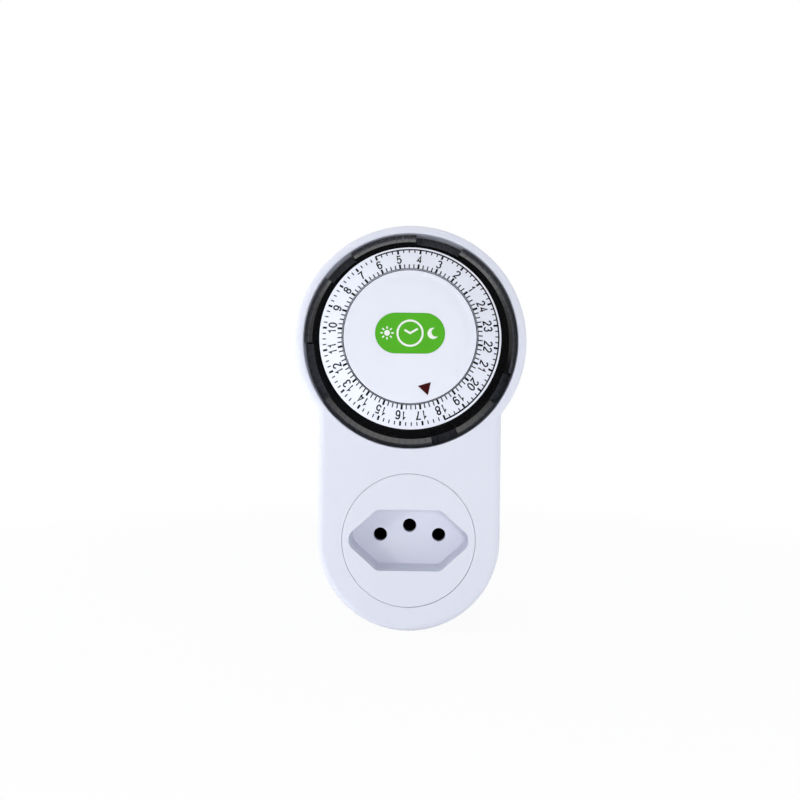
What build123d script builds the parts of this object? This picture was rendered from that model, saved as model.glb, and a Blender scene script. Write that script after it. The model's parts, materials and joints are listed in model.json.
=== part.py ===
"""Plug-in mechanical timer switch with a 24 hour dial, a straight-through outlet and a three-pin plug.

Frame: X to the right, Z up, -Y towards the user. The origin is the centre of the plug's engagement face,
midway between the line and neutral pins. A "level" is a distance in front of that face, towards -Y.
"""

import os
from math import acos, atan2, cos, degrees, hypot, radians, sin, sqrt

from build123d import *

os.makedirs("parts", exist_ok=True)

# ---- housing ----
case_depth = 38.0  # back face to front face
rear_depth = 8.0  # back face to the seam between the covers
head_r = 35.9
body_half = 28.2  # half width of the lower body and radius of its round end
dial_height = 61.4  # dial axis above the outlet axis
wall = 2.2
front_edge_r = 2.2
back_edge_r = 1.5
neck_r = 1.5  # concave corner between head and lower body
lip_height = 2.0
lip_wall = 1.0
lip_gap = 0.15

# ---- plug and outlet, standard three-pin pattern ----
pin_pitch = 19.0  # line to neutral
earth_offset = 3.0
pin_r = 2.0
pin_length = 19.0
pin_tip_r = 1.4
pin_root_r = 2.4  # thicker root inside the plug block
pin_clear = 0.05
plug_depth = 11.0
hex_width = 37.0  # recess, over its rounded ends
hex_height = 18.8
hex_flat = 19.7  # straight top and bottom edges
hex_corner_r = 2.5
hex_end_r = 3.6
plug_inset = 0.9  # the plug block is this much smaller all round than the recess
plug_seat = 0.8  # the plug block stands in a pocket of this depth
plug_seat_gap = 0.05
recess_depth = 12.0
recess_floor = 2.5
recess_wall = 1.6
outlet_hole_r = 2.2
insert_r = 20.5
insert_gap = 0.1
flange_reach = 1.4
flange_t = 1.5

# ---- dial and tappets ----
well_r = 33.1
well_edge_r = 0.5
well_skirt = 1.4
disc_r = 19.6  # fixed centre disc
disc_rise = 9.0  # its top above the front face
disc_t = 1.6
ring_inner_r = 19.86
ring_outer_r = 27.25
ring_drop = 3.8  # fall of the printed cone from its inner to its outer edge
ring_t = 1.25
tappet_count = 96
tappet_inner_r = 27.4
tappet_crest_r = 30.2
tappet_outer_r = 32.85
tappet_rise = 0.4  # flat tops above the front face
tappet_bevel = 1.8
tappet_edge_t = 4.4
tappet_gap = 0.16  # degrees between neighbours
tappet_travel = 3.0
leg_radius = 30.25
leg_radial = 3.8
leg_width = 1.0
leg_clear = 0.12
midnight_angle = 66.2  # clockwise from the top to the 0 h mark
carrier_t = 2.0
post_r = 5.0
hub_r = 8.0
hub_clear = 0.06

# ---- switch ----
follower_angle = 161.0  # clockwise from the top
follower_arm = 14.1
case_length = 19.8
case_height = 8.4
case_thick = 6.4
case_wall = 1.0
case_drop = 13.2  # movement plate to the foot of the switch case
lever_t = 0.8
lever_width = 3.0
finger_length = 2.2
override_travel = 2.6
knob_length = 3.0
slide_gap = 0.2

# ---- gear train ----
module = 0.5
pinion_teeth = 12
wheel_teeth = [52, 48, 48, 48]  # first to third wheel, then the clutch wheel
dial_module = 0.6
dial_teeth = 78
wheel_t = 1.4
layer = 3.0
arbor_r = 0.75
arbor_clear = 0.05
hub_tube_r = 1.2
motor_x = -15.0
motor_z = 4.0
motor_r = 12.0
rotor_r = 7.4
plate_t = 2.0
rear_plate_t = 1.6
post_ring_r = 30.5
post_pad_r = 2.5

# ---- metal parts ----
strap_t = 1.0
strap_width = 3.5
pin_flange_r = 3.2
pin_flange_t = 1.2
stud_r = 1.2
stud_reach = 1.2
sleeve_r = 3.1
sleeve_bore_r = 2.5
sleeve_floor = 1.6
grip_r = 2.03  # ring that holds a 4 mm pin
grip_length = 2.0
grip_depth = 8.0  # below the sleeve's mouth
slit_width = 0.6
tower_clear = 0.15
tower_reach = 5.0  # the towers end this far above the line strap
tower_wall = 1.2
lead_r = 0.55
screw_r = 1.4
screw_head_r = 2.7
screw_head_t = 2.0
cross_length = 3.2
cross_width = 0.6
screw_length = 14.0
screw_sink = 4.0
boss_r = 3.0
boss_x = 22.8
boss_drop = 8.1  # screw bosses below the switch
foot_boss_z = -23.3

# ---- levels, worked out ----
back_level = plug_depth
face_level = back_level + case_depth
seam_level = back_level + rear_depth
inner_back = back_level + wall
inner_front = face_level - wall
disc_top = face_level + disc_rise
tappet_top = face_level + tappet_rise
tappet_edge = tappet_top - tappet_bevel
block_bottom = tappet_edge - tappet_edge_t
flange_top = block_bottom - tappet_travel - 0.2
flange_bottom = flange_top - carrier_t
leg_bottom = flange_bottom - 0.3
pressed_bottom = leg_bottom - tappet_travel
plate_front = pressed_bottom - 0.5
plate_back = plate_front - plate_t
drum_bottom = plate_front + 0.5
hub_top = flange_top + 6.0
floor_level = face_level - recess_depth
insert_back = floor_level - recess_floor
disc_under = disc_top - disc_t
rear_plate_level = inner_back + 0.8
rear_plate_front = rear_plate_level + rear_plate_t
clutch_level = plate_back - 4.0
wheel_levels = [clutch_level - layer * step for step in (1, 2, 3)]
strap_level = inner_back + pin_flange_t
line_strap_level = strap_level + 2.6
finger_top = pressed_bottom - 0.2
case_level = plate_back - case_drop
case_top = case_level + case_height
lever_level = case_top + 0.8
motor_back = inner_back + 0.4
motor_front = wheel_levels[0] - 0.8

rest_points = [(-14.8, 12.2), (14.8, 12.2), (-14.8, -12.2), (14.8, -12.2)]
pin_points = {"line": (pin_pitch / 2, 0.0), "neutral": (-pin_pitch / 2, 0.0), "earth": (0.0, earth_offset)}

tappet_step = 360.0 / tappet_count
dial_axis = Axis((0, 0, dial_height), (0, -1, 0))


def level(distance):
    """Plane facing the user at a level, centred on the outlet axis"""
    return Plane.XZ.offset(distance)


def dial_level(distance, x=0.0, z=0.0):
    """Plane facing the user at a level, centred on the dial axis or on a point beside it"""
    return Plane(origin=(x, -distance, dial_height + z), x_dir=(1, 0, 0), z_dir=(0, -1, 0))


def dial_section(angle=90.0, x=0.0, z=0.0):
    """Plane of a radius at a clock angle: local x is the radius, local y is the level"""
    turn = radians(angle)
    origin = (x, 0, dial_height + z)
    return Plane(origin=origin, x_dir=(sin(turn), 0, cos(turn)), z_dir=(cos(turn), 0, -sin(turn)))


def clock(radius, angle):
    """Point at a clock angle, in the dial's own plane"""
    return radius * sin(radians(angle)), radius * cos(radians(angle))


def label_and_write(part, name):
    """Name a finished piece and write its file"""
    part.label = name
    export_step(part, f"parts/{name}.step")


def block(x0, x1, low, high, z0, z1, mode=Mode.ADD):
    """Box between two x, two levels and two heights"""
    with Locations(((x0 + x1) / 2, -(low + high) / 2, (z0 + z1) / 2)):
        Box(x1 - x0, high - low, z1 - z0, mode=mode)


def ring(plane, outer, inner, amount, mode=Mode.ADD):
    """Disc or ring standing on a plane"""
    with BuildSketch(plane) as profile:
        Circle(outer)
        if inner:
            Circle(inner, mode=Mode.SUBTRACT)
    extrude(profile.sketch, amount=amount, mode=mode)


def dots(plane, points, radius, amount, mode=Mode.ADD):
    """Round posts or holes at several points of a plane"""
    with BuildSketch(plane) as profile:
        with Locations(*points):
            Circle(radius)
    extrude(profile.sketch, amount=amount, mode=mode)


def case_outline(plane, inset=0.0):
    """Round head over a lower body with a round end, drawn inset from the outside"""
    neck_z = dial_height - sqrt(head_r**2 - body_half**2)
    with BuildSketch(plane, mode=Mode.PRIVATE) as outline:
        Circle(body_half - inset)
        with Locations((0, dial_height / 2)):
            Rectangle(2 * (body_half - inset), dial_height)
        with Locations((0, dial_height)):
            Circle(head_r - inset)
        corners = outline.vertices().filter_by_position(Axis.Y, neck_z - 2, neck_z + 4)
        fillet([v for v in corners if abs(v.X) > body_half - inset - 1], neck_r + inset)
    return outline.sketch


def plug_outline(inset=0.0):
    """Long hexagon with rounded corners, as on the standard plug and its recess"""
    half_h = hex_height / 2
    flat = hex_flat / 2
    # side edges run so that the rounded end lies at hex_width / 2
    slope = radians(42)
    tip = hex_width / 2 + hex_end_r * (1 / sin(slope) - 1)
    with BuildSketch(mode=Mode.PRIVATE) as outline:
        corners = [(-flat, half_h), (flat, half_h), (tip, 0), (flat, -half_h), (-flat, -half_h), (-tip, 0)]
        with BuildLine():
            Polyline(corners, close=True)
        make_face()
        ends = outline.vertices().group_by(Axis.Y)[1]
        fillet(ends, hex_end_r)
        corners = outline.vertices().group_by(Axis.Y)[0] + outline.vertices().group_by(Axis.Y)[-1]
        fillet(corners, hex_corner_r)
        if inset:
            offset(amount=-inset)
    return outline.sketch


def tooth_points(teeth, inner, outer, half_inner, half_outer, phase):
    """Corners of a ring of tapered teeth; half widths are shares of the pitch"""
    points = []
    for tooth in range(teeth):
        flanks = ((inner, -half_inner), (outer, -half_outer), (outer, half_outer), (inner, half_inner))
        for radius, share in flanks:
            turn = radians(phase + (tooth + share) * 360 / teeth)
            points.append((radius * cos(turn), radius * sin(turn)))
    return points


def spur(plane, teeth, size, phase, amount):
    """Spur gear body with a tooth at the phase angle"""
    pitch_r = size * teeth / 2
    with BuildSketch(plane) as profile:
        with BuildLine():
            points = tooth_points(teeth, pitch_r - 1.2 * size, pitch_r + 0.9 * size, 0.33, 0.11, phase)
            Polyline(points, close=True)
        make_face()
    extrude(profile.sketch, amount=amount)


def bearing(direction, teeth):
    """Phase that puts a tooth gap of a wheel towards a direction"""
    return direction + 180 / teeth


# ---- gear train places, in the dial's plane ----
def beside(point, distance, direction):
    """Point at a distance and direction from another"""
    return point[0] + distance * cos(radians(direction)), point[1] + distance * sin(radians(direction))


mesh = [module * (pinion_teeth + teeth) / 2 for teeth in wheel_teeth]
motor_at = (motor_x, motor_z)
directions = [-20.0, 0.0, 110.0]
arbors = [beside(motor_at, mesh[0], directions[0])]
arbors.append(beside(arbors[0], mesh[1], directions[1]))
arbors.append(beside(arbors[1], mesh[2], directions[2]))
# the clutch arbor lies where its pinion meets the ring gear and its wheel meets the third pinion
ring_mesh = dial_module * (dial_teeth - pinion_teeth) / 2
third_r = hypot(*arbors[2])
third_turn = degrees(atan2(arbors[2][1], arbors[2][0]))
open_turn = degrees(acos((third_r**2 + ring_mesh**2 - mesh[3] ** 2) / (2 * third_r * ring_mesh)))
clutch_turn = third_turn + open_turn
arbors.append(beside((0, 0), ring_mesh, clutch_turn))
directions.append(degrees(atan2(arbors[3][1] - arbors[2][1], arbors[3][0] - arbors[2][0])))
clutch_tip_r = dial_module * (pinion_teeth / 2 + 0.9)

pillars = [(0.0, -18.5), (23.5, 19.5), (9.0, 29.5)]
plate_posts = [clock(post_ring_r, angle) for angle in (75, 125, 215, 285)]
motor_ears = [beside(motor_at, motor_r + 2.0, angle) for angle in (125, -100)]
follower_x, follower_z = clock(31.0, follower_angle)
pivot_x = follower_x - follower_arm
switch_z = dial_height + follower_z
boss_z = switch_z - boss_drop
boss_points = [(-boss_x, boss_z), (boss_x, boss_z), (0.0, foot_boss_z)]
finger = (follower_x - finger_length / 2, follower_x + finger_length / 2)
case_x = (pivot_x - 1.9, pivot_x - 1.9 + case_length)
case_z = (switch_z - case_thick / 2, switch_z + case_thick / 2)
plunger_x = pivot_x + 7.0
common_x = pivot_x
output_x = pivot_x + 16.0

# ---- front cover ----
with BuildPart() as front_cover:
    add(extrude(case_outline(level(seam_level)), amount=face_level - seam_level, mode=Mode.PRIVATE))
    fillet(front_cover.faces().sort_by(Axis.Y)[0].edges(), front_edge_r)
    hollow = case_outline(level(seam_level), wall)
    add(extrude(hollow, amount=inner_front - seam_level, mode=Mode.PRIVATE), mode=Mode.SUBTRACT)
    rebate = case_outline(level(seam_level), lip_wall + 0.2 - lip_gap)
    add(extrude(rebate, amount=lip_height + 0.2, mode=Mode.PRIVATE), mode=Mode.SUBTRACT)
    ring(dial_level(plate_front + 0.1), well_r + well_skirt, well_r, inner_front - plate_front)
    ring(dial_level(inner_front - 0.1), well_r, 0, wall + 0.2, Mode.SUBTRACT)
    front_edges = front_cover.edges().filter_by_position(Axis.Y, -face_level - 0.01, -face_level + 0.01)
    mouths = front_edges.filter_by(GeomType.CIRCLE)
    fillet([mouth for mouth in mouths if abs(mouth.radius - well_r) < 0.01], well_edge_r)
    ring(level(inner_front - 0.1), insert_r + insert_gap, 0, wall + 0.2, Mode.SUBTRACT)
    dots(level(seam_level), boss_points, boss_r, inner_front - seam_level + 0.1)
    dots(level(seam_level), boss_points, screw_r + 0.1, screw_length - 2, Mode.SUBTRACT)
    # slot for the override slider in the right side wall
    override_z = (switch_z - 0.6, switch_z - 0.6 + knob_length + 2 * slide_gap + override_travel)
    override_level = (lever_level - 1.8, lever_level + 3.8)
    block(body_half - wall - 1, body_half + 1, *override_level, *override_z, Mode.SUBTRACT)
label_and_write(front_cover.part, "front_cover")

# ---- rear cover and the plug block behind it ----
with BuildPart() as rear_cover:
    add(extrude(case_outline(level(back_level)), amount=rear_depth, mode=Mode.PRIVATE))
    fillet(rear_cover.faces().sort_by(Axis.Y)[-1].edges(), back_edge_r)
    add(extrude(case_outline(level(seam_level), lip_wall + 0.2), amount=lip_height, mode=Mode.PRIVATE))
    tray = case_outline(level(inner_back), wall)
    add(extrude(tray, amount=case_depth, mode=Mode.PRIVATE), mode=Mode.SUBTRACT)
    pocket = Plane.XZ.offset(back_level) * plug_outline(plug_inset - plug_seat_gap)
    add(extrude(pocket, amount=plug_seat, mode=Mode.PRIVATE), mode=Mode.SUBTRACT)
    dots(level(back_level - 1), pin_points.values(), pin_root_r + pin_clear, wall + 2, Mode.SUBTRACT)
    dots(level(inner_back - 0.1), boss_points, boss_r + 1.2, seam_level - inner_back + 0.1)
    dots(level(back_level - 1), boss_points, screw_r + 0.2, rear_depth + 2, Mode.SUBTRACT)
    dots(level(back_level - 1), boss_points, screw_head_r + 0.2, screw_sink + 1, Mode.SUBTRACT)
    dots(level(inner_back - 0.1), rest_points, 2.0, inner_front - flange_t - inner_back)
    dots(dial_level(inner_back - 0.1), plate_posts, post_pad_r, plate_back - inner_back + 0.1)
    dots(dial_level(plate_back - 8), plate_posts, 1.0, 9, Mode.SUBTRACT)
    # platform under the switch case
    block(case_x[0] + 4.5, case_x[1] - 4.5, inner_back - 0.1, case_level, *case_z)
label_and_write(rear_cover.part, "rear_cover")

with BuildPart() as plug_block:
    add(extrude(Plane.XZ * plug_outline(plug_inset), amount=plug_depth + plug_seat, mode=Mode.PRIVATE))
    dots(level(-1), pin_points.values(), pin_root_r + pin_clear, plug_depth + plug_seat + 2, Mode.SUBTRACT)
label_and_write(plug_block.part, "plug_block")

# ---- outlet insert ----
with BuildPart() as outlet_insert:
    ring(level(inner_front - flange_t), insert_r, 0, wall + flange_t)
    ring(level(inner_front - flange_t), insert_r + flange_reach, 0, flange_t)
    tub = Plane.XZ.offset(insert_back) * plug_outline(-recess_wall)
    add(extrude(tub, amount=inner_front - insert_back, mode=Mode.PRIVATE))
    tower_level = line_strap_level + tower_reach
    holes = pin_points.values()
    dots(level(tower_level), holes, sleeve_r + tower_clear + tower_wall, insert_back - tower_level + 0.1)
    recess = Plane.XZ.offset(floor_level) * plug_outline()
    add(extrude(recess, amount=recess_depth + 1, mode=Mode.PRIVATE), mode=Mode.SUBTRACT)
    dots(level(line_strap_level), holes, sleeve_r + tower_clear, insert_back - line_strap_level, Mode.SUBTRACT)
    dots(level(insert_back - 1), holes, outlet_hole_r, recess_floor + 2, Mode.SUBTRACT)
    dots(level(inner_front - flange_t - 1), boss_points, boss_r + 0.2, flange_t + 1.2, Mode.SUBTRACT)
    rim = outlet_insert.edges().filter_by_position(Axis.Y, -face_level - 0.01, -face_level + 0.01)
    fillet(rim.filter_by(GeomType.CIRCLE).sort_by(SortBy.LENGTH)[-1:], 0.2)
label_and_write(outlet_insert.part, "outlet_insert")

# ---- pins, sleeves, straps ----
for name, point in pin_points.items():
    with BuildPart() as pin:
        dots(level(-pin_length), [point], pin_r, pin_length)
        fillet(pin.faces().sort_by(Axis.Y)[-1].edges(), pin_tip_r)
        dots(level(0), [point], pin_root_r, inner_back)
        dots(level(inner_back), [point], pin_flange_r, pin_flange_t)
        dots(level(strap_level), [point], stud_r, strap_t if name == "line" else strap_t + stud_reach)
    label_and_write(pin.part, f"{name}_pin")

    sleeve_base = line_strap_level + strap_t if name == "line" else strap_level + strap_t
    with BuildPart() as sleeve:
        dots(level(sleeve_base), [point], sleeve_r, insert_back - 0.2 - sleeve_base)
        dots(level(sleeve_base + sleeve_floor), [point], sleeve_bore_r, insert_back, Mode.SUBTRACT)
        grip_at = Plane(origin=(point[0], grip_depth - insert_back, point[1]), z_dir=(0, -1, 0))
        ring(grip_at, sleeve_bore_r + 0.1, grip_r, grip_length)
        if name != "line":
            dots(level(sleeve_base - 1), [point], stud_r + 0.05, stud_reach + 1.2, Mode.SUBTRACT)
        # the slit lets the mouth spring
        slit_x = (point[0] - slit_width / 2, point[0] + slit_width / 2)
        block(*slit_x, sleeve_base + 4, insert_back, point[1] + 1, point[1] + sleeve_r + 1, Mode.SUBTRACT)
    label_and_write(sleeve.part, f"{name}_sleeve")

line_x = pin_points["line"][0]
lead_x = {"line": motor_x + 1.6, "neutral": motor_x + 5.2}
corridor_z = boss_z
exit_z = corridor_z - strap_width - 0.5
neutral_end_z = 9.0
terminal_z = dial_height + motor_z - motor_r - 3.5


def strap(distance, runs, holes):
    """Flat strap made of straight runs, with holes for studs"""
    with BuildSketch(level(distance)) as profile:
        for x0, z0, x1, z1 in runs:
            with Locations(((x0 + x1) / 2, (z0 + z1) / 2)):
                Rectangle(abs(x1 - x0) + strap_width, abs(z1 - z0) + strap_width)
        for point in holes:
            with Locations(point):
                Circle(pin_flange_r)
                Circle(stud_r + 0.05, mode=Mode.SUBTRACT)
    extrude(profile.sketch, amount=strap_t)


with BuildPart() as line_in_strap:
    runs = [(line_x, 0, line_x, corridor_z), (lead_x["line"], corridor_z, line_x, corridor_z),
            (common_x, corridor_z, common_x, switch_z)]
    strap(strap_level, runs, [pin_points["line"]])
label_and_write(line_in_strap.part, "line_in_strap")

with BuildPart() as line_out_strap:
    runs = [(line_x, 0, line_x, exit_z), (line_x, exit_z, output_x, exit_z),
            (output_x, exit_z, output_x, switch_z)]
    strap(line_strap_level, runs, [])
label_and_write(line_out_strap.part, "line_out_strap")

with BuildPart() as insulating_washer:
    washer_level = strap_level + strap_t
    dots(level(washer_level), [pin_points["line"]], pin_flange_r + 0.6, line_strap_level - washer_level)
label_and_write(insulating_washer.part, "insulating_washer")

with BuildPart() as neutral_strap:
    strap(strap_level, [(-line_x, 0, -line_x, neutral_end_z)], [pin_points["neutral"]])
label_and_write(neutral_strap.part, "neutral_strap")

with BuildPart() as earth_strap:
    strap(strap_level, [(0, earth_offset, 0, earth_offset)], [pin_points["earth"]])
label_and_write(earth_strap.part, "earth_strap")

# ---- movement plates, pillars and arbors ----
window_x = (finger[0] - 3.0, finger[1] + 1.6)
with BuildPart() as movement_plate:
    ring(dial_level(plate_back), head_r - wall - 0.3, 0, plate_t)
    ring(dial_level(plate_front - 0.1), post_r, 0, disc_under - 4.2 - plate_front + 0.1)
    dots(dial_level(clutch_level + wheel_t), motor_ears, 1.9, plate_back - clutch_level - wheel_t + 0.1)
    dots(dial_level(motor_front), motor_ears, 1.9, plate_back - motor_front + 0.1)
    dots(dial_level(motor_front - 1), motor_ears, 0.95, 6, Mode.SUBTRACT)
    dots(dial_level(plate_back - 1), arbors[:3], arbor_r, 2.2, Mode.SUBTRACT)
    dots(dial_level(plate_back - 1), [arbors[3]], clutch_tip_r + 0.15, 4, Mode.SUBTRACT)
    dots(dial_level(plate_back - 1), plate_posts, 1.2, 4, Mode.SUBTRACT)
    for point in plate_posts:
        with BuildSketch(dial_section(90, *point)):
            with BuildLine():
                Polyline([(0, plate_front - 1.2), (1.2, plate_front - 1.2), (2.4, plate_front + 0.01),
                          (0, plate_front + 0.01)], close=True)
            make_face()
        revolve(axis=Axis((point[0], 0, dial_height + point[1]), (0, -1, 0)), mode=Mode.SUBTRACT)
    block(*window_x, plate_back - 1, plate_front + 1, switch_z - 2.6, switch_z + 2.6, Mode.SUBTRACT)
    dots(dial_level(disc_under - 10.2), [(0, 0)], 2.5, 12, Mode.SUBTRACT)
label_and_write(movement_plate.part, "movement_plate")

with BuildPart() as movement_rear_plate:
    with BuildSketch(dial_level(rear_plate_level)):
        with Locations(*arbors, *pillars):
            Circle(3.0)
        make_hull()
        with Locations(motor_at):
            Circle(motor_r + 0.6, mode=Mode.SUBTRACT)
        with Locations(*arbors):
            Circle(arbor_r, mode=Mode.SUBTRACT)
    extrude(amount=rear_plate_t)
label_and_write(movement_rear_plate.part, "movement_rear_plate")

with BuildPart() as plate_pillars:
    dots(dial_level(rear_plate_front), pillars, 1.9, plate_back - rear_plate_front)
label_and_write(plate_pillars.part, "plate_pillars")

with BuildPart() as gear_arbors:
    dots(dial_level(rear_plate_level), arbors[:3], arbor_r, plate_back + 1.1 - rear_plate_level)
    dots(dial_level(rear_plate_level), [arbors[3]], arbor_r, flange_top - 1.0 - rear_plate_level)
label_and_write(gear_arbors.part, "gear_arbors")

# ---- gear train ----
pinion_reach = layer + 0.6
for index in range(3):
    at = arbors[index]
    wheel_level = wheel_levels[index]
    with BuildPart() as gear:
        teeth = wheel_teeth[index]
        spur(dial_level(wheel_level, *at), teeth, module, bearing(directions[index] + 180, teeth), wheel_t)
        pinion_level = wheel_level - pinion_reach if index < 2 else clutch_level - 0.8
        pinion_t = pinion_reach if index < 2 else wheel_t + 1.6
        spur(dial_level(pinion_level, *at), pinion_teeth, module, directions[index + 1], pinion_t)
        dots(dial_level(rear_plate_front + 0.2), [at], hub_tube_r, plate_back - rear_plate_front - 0.4)
        dots(dial_level(rear_plate_front), [at], arbor_r + arbor_clear, plate_back, Mode.SUBTRACT)
    label_and_write(gear.part, f"gear_{index + 1}")

clutch_at = arbors[3]
with BuildPart() as clutch_wheel:
    clutch_phase = bearing(directions[3] + 180, wheel_teeth[3])
    spur(dial_level(clutch_level, *clutch_at), wheel_teeth[3], module, clutch_phase, wheel_t)
    dots(dial_level(rear_plate_front + 0.2), [clutch_at], hub_tube_r, clutch_level - rear_plate_front)
    dots(dial_level(rear_plate_front), [clutch_at], arbor_r + arbor_clear, plate_back, Mode.SUBTRACT)
label_and_write(clutch_wheel.part, "clutch_wheel")

clutch_face = clutch_level + wheel_t + 0.2
journal_r = clutch_tip_r + 0.07
with BuildPart() as clutch_pinion:
    dots(dial_level(clutch_face), [clutch_at], 6.0, 1.2)
    dots(dial_level(clutch_face), [clutch_at], journal_r, plate_front + 0.2 - clutch_face)
    output_t = flange_top - 0.6 - plate_front
    spur(dial_level(plate_front, *clutch_at), pinion_teeth, dial_module, clutch_turn, output_t)
    dots(dial_level(clutch_face - 1), [clutch_at], arbor_r + arbor_clear, 20, Mode.SUBTRACT)
label_and_write(clutch_pinion.part, "clutch_pinion")

# ---- motor ----
can_wall = 0.7
shaft_clear = 0.05
claw_r = rotor_r + 0.65
terminal_x = (motor_x - 0.6, motor_x + 7.4)
terminal_level = (motor_back + 0.9, motor_back + 4.9)
with BuildPart() as motor_can:
    ring(dial_level(motor_back, *motor_at), motor_r, 0, motor_front - 1 - motor_back)
    ring(dial_level(motor_back + 0.8, *motor_at), motor_r - can_wall, 0, motor_front, Mode.SUBTRACT)
    with BuildSketch(dial_level(motor_back, *motor_at)):
        with PolarLocations(claw_r, 6):
            Rectangle(0.5, 3.4)
    extrude(amount=8)
    ring(dial_level(motor_back - 1, *motor_at), arbor_r + shaft_clear, 0, 4, Mode.SUBTRACT)
    block(terminal_x[0] - 0.2, terminal_x[1] + 0.2, terminal_level[0] - 0.1, terminal_level[1] + 0.2,
          terminal_z - 1, dial_height + motor_z - 8, Mode.SUBTRACT)
label_and_write(motor_can.part, "motor_can")

with BuildPart() as motor_front_plate:
    ring(dial_level(motor_front - 1, *motor_at), motor_r, 0, 1)
    for ear in motor_ears:
        ear_turn = degrees(atan2(ear[1] - motor_z, ear[0] - motor_x))
        with BuildSketch(dial_level(motor_front - 1)):
            with Locations(ear, beside(motor_at, motor_r - 2, ear_turn)):
                Circle(2.4)
            make_hull()
        extrude(amount=1)
    dots(dial_level(motor_front - 2), motor_ears, 1.2, 4, Mode.SUBTRACT)
    with BuildSketch(dial_level(motor_front - 0.5, *motor_at)):
        with PolarLocations(claw_r, 6, start_angle=30):
            Rectangle(0.5, 3.4)
    extrude(amount=-7)
    ring(dial_level(motor_front - 2, *motor_at), arbor_r + shaft_clear, 0, 4, Mode.SUBTRACT)
label_and_write(motor_front_plate.part, "motor_front_plate")

bobbin_r = claw_r + 0.5
bobbin_low = motor_back + 0.9
bobbin_high = motor_front - 1.1
with BuildPart() as coil_bobbin:
    ring(dial_level(bobbin_low, *motor_at), bobbin_r + 0.6, bobbin_r, bobbin_high - bobbin_low)
    ring(dial_level(bobbin_low, *motor_at), motor_r - can_wall - 0.1, bobbin_r, 0.7)
    ring(dial_level(bobbin_high - 0.7, *motor_at), motor_r - can_wall - 0.1, bobbin_r, 0.7)
    # terminal block, reaching out through the can's window
    block(*terminal_x, *terminal_level, terminal_z, dial_height + motor_z - 9, Mode.ADD)
    ring(dial_level(bobbin_low + 0.7, *motor_at), motor_r - can_wall - 0.3, bobbin_r + 0.6,
         bobbin_high - bobbin_low - 1.4, Mode.SUBTRACT)
label_and_write(coil_bobbin.part, "coil_bobbin")

with BuildPart() as coil_winding:
    ring(dial_level(bobbin_low + 0.8, *motor_at), motor_r - can_wall - 0.5, bobbin_r + 0.65,
         bobbin_high - bobbin_low - 1.6)
label_and_write(coil_winding.part, "coil_winding")

with BuildPart() as rotor_magnet:
    ring(dial_level(motor_back + 1.6, *motor_at), rotor_r, arbor_r, motor_front - motor_back - 3.6)
label_and_write(rotor_magnet.part, "rotor_magnet")

with BuildPart() as rotor_shaft:
    ring(dial_level(motor_back + 0.1, *motor_at), arbor_r, 0, wheel_levels[0] + wheel_t + 0.9 - motor_back)
    spur(dial_level(motor_front + 0.2, *motor_at), pinion_teeth, module, directions[0], wheel_t + 1.2)
label_and_write(rotor_shaft.part, "rotor_shaft")

# ---- motor leads, from the straps to the motor's terminal block ----
lead_level = terminal_level[0] + 2.8
with BuildPart() as motor_leads:
    lead_start = strap_level + strap_t
    bend_r = min(1.0, (lead_level - lead_start) * 0.9)
    for x, start_z in ((lead_x["line"], corridor_z), (lead_x["neutral"], neutral_end_z)):
        with BuildLine() as route:
            FilletPolyline([(x, -lead_start, start_z), (x, -lead_level, start_z), (x, -lead_level, terminal_z)],
                           radius=bend_r)
        with BuildSketch(Plane(origin=(x, -lead_start, start_z), z_dir=(0, -1, 0))):
            Circle(lead_r)
        sweep(path=route.line)
label_and_write(motor_leads.part, "motor_leads")

# ---- dial carrier with its ring gear ----
drum_r = ring_outer_r - ring_t
with BuildPart() as dial_carrier:
    ring(dial_level(flange_top), drum_r, 0, carrier_t)
    ring(dial_level(drum_bottom), ring_outer_r - 0.1, drum_r - 1.4, face_level - 1.2 - drum_bottom)
    rim_level = disc_top - ring_drop - ring_t + 0.3
    ring(dial_level(flange_top), drum_r - 0.1, drum_r - 1.4, rim_level - flange_top)
    ring(dial_level(flange_bottom), tappet_outer_r - 0.1, drum_r - 1.4, carrier_t)
    ring(dial_level(plate_front + 0.1), hub_r, 0, hub_top - plate_front - 0.1)
    ring(dial_level(drum_bottom), drum_r - 1.3, dial_module * (dial_teeth / 2 - 0.9), flange_top - drum_bottom)
    with BuildSketch(dial_level(drum_bottom)):
        with BuildLine():
            tips = dial_module * (dial_teeth / 2 - 0.95)
            roots = dial_module * (dial_teeth / 2 + 1.2)
            Polyline(tooth_points(dial_teeth, tips, roots, 0.40, 0.17, clutch_turn), close=True)
        make_face()
        Circle(dial_module * (dial_teeth / 2 - 1.0), mode=Mode.SUBTRACT)
    extrude(amount=flange_top - drum_bottom, mode=Mode.SUBTRACT)
    with BuildSketch(dial_level(flange_bottom - 1)):
        with PolarLocations(leg_radius, tappet_count, start_angle=90 - midnight_angle + tappet_step / 2):
            Rectangle(leg_radial + 2 * leg_clear, leg_width + 2 * leg_clear)
    extrude(amount=carrier_t + 2, mode=Mode.SUBTRACT)
    ring(dial_level(plate_front), post_r + hub_clear, 0, hub_top, Mode.SUBTRACT)
label_and_write(dial_carrier.part, "dial_carrier")

with BuildPart() as dial_ring:
    edge_level = disc_top - ring_drop
    skirt_level = face_level - 1.1
    with BuildSketch(dial_section()):
        with BuildLine():
            Polyline([(ring_inner_r, disc_top), (ring_outer_r, edge_level), (ring_outer_r, skirt_level),
                      (drum_r, skirt_level), (drum_r, edge_level - ring_t + 0.65),
                      (ring_inner_r, disc_top - ring_t)], close=True)
        make_face()
    revolve(axis=dial_axis)
    fillet(dial_ring.edges().filter_by_position(Axis.Y, -edge_level - 0.01, -edge_level + 0.01), 0.3)
label_and_write(dial_ring.part, "dial_ring")

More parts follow.
